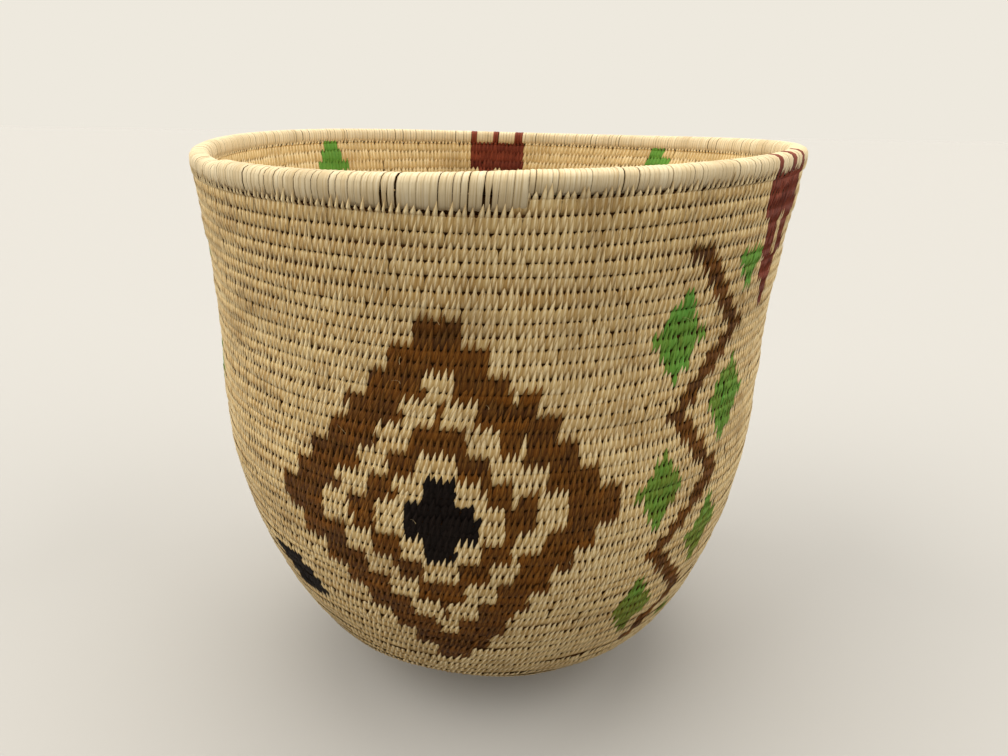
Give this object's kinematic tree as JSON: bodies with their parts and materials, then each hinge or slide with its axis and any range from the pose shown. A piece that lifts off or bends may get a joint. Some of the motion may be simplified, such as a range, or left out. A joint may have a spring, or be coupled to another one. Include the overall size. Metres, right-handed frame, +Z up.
{
  "type": "coiled basket",
  "caption": "Deep round basket of one coiled, strip-sewn fibre bundle, with a flat base, a bowl-shaped underside, a slightly flared wall and a fat rim coil lashed down at its tapered end.",
  "frame": {"origin": "middle of the flat face that the basket rests on, centred on its outline", "axes": "+Z up through the open mouth, -Y towards the side where the coil ends at the rim"},
  "size_m": [0.1758, 0.177, 0.1672],
  "materials": {
    "natural_strip": "matt undyed palm leaf strip with fine lengthwise streaks",
    "rim_strip": "pale satin palm leaf strip",
    "foundation_fibre": "dull bundled palm fibre",
    "brown_strip": "matt brown-dyed palm leaf strip",
    "black_strip": "matt black-dyed palm leaf strip",
    "green_strip": "matt green-dyed palm leaf strip",
    "rust_strip": "matt rust-dyed palm leaf strip"
  },
  "bodies": {
    "root": {"start_knot": "foundation_fibre", "base_coil_01": "natural_strip", "base_coil_02": "natural_strip", "bowl_coil_01": "natural_strip", "bowl_coil_02": "natural_strip", "bowl_coil_03": "natural_strip", "bowl_coil_04": "natural_strip", "wall_coil_01": "natural_strip", "wall_coil_02": "natural_strip", "wall_coil_03": "natural_strip", "wall_coil_04": "natural_strip", "wall_coil_05": "natural_strip", "wall_coil_06": "natural_strip", "wall_coil_07": "natural_strip", "wall_coil_08": "natural_strip", "wall_coil_09": "natural_strip", "wall_coil_10": "natural_strip", "wall_coil_11": "natural_strip", "wall_coil_12": "natural_strip", "wall_coil_13": "natural_strip", "rim_coil": "rim_strip", "end_lashing_01": "rim_strip", "end_lashing_02": "rim_strip", "end_lashing_03": "rim_strip", "end_lashing_04": "rim_strip", "end_lashing_05": "rim_strip", "end_lashing_06": "rim_strip", "end_lashing_07": "rim_strip", "end_lashing_08": "rim_strip", "end_lashing_09": "rim_strip", "end_lashing_10": "rim_strip", "end_lashing_11": "rim_strip", "end_lashing_12": "rim_strip"}
  },
  "joints": []
}
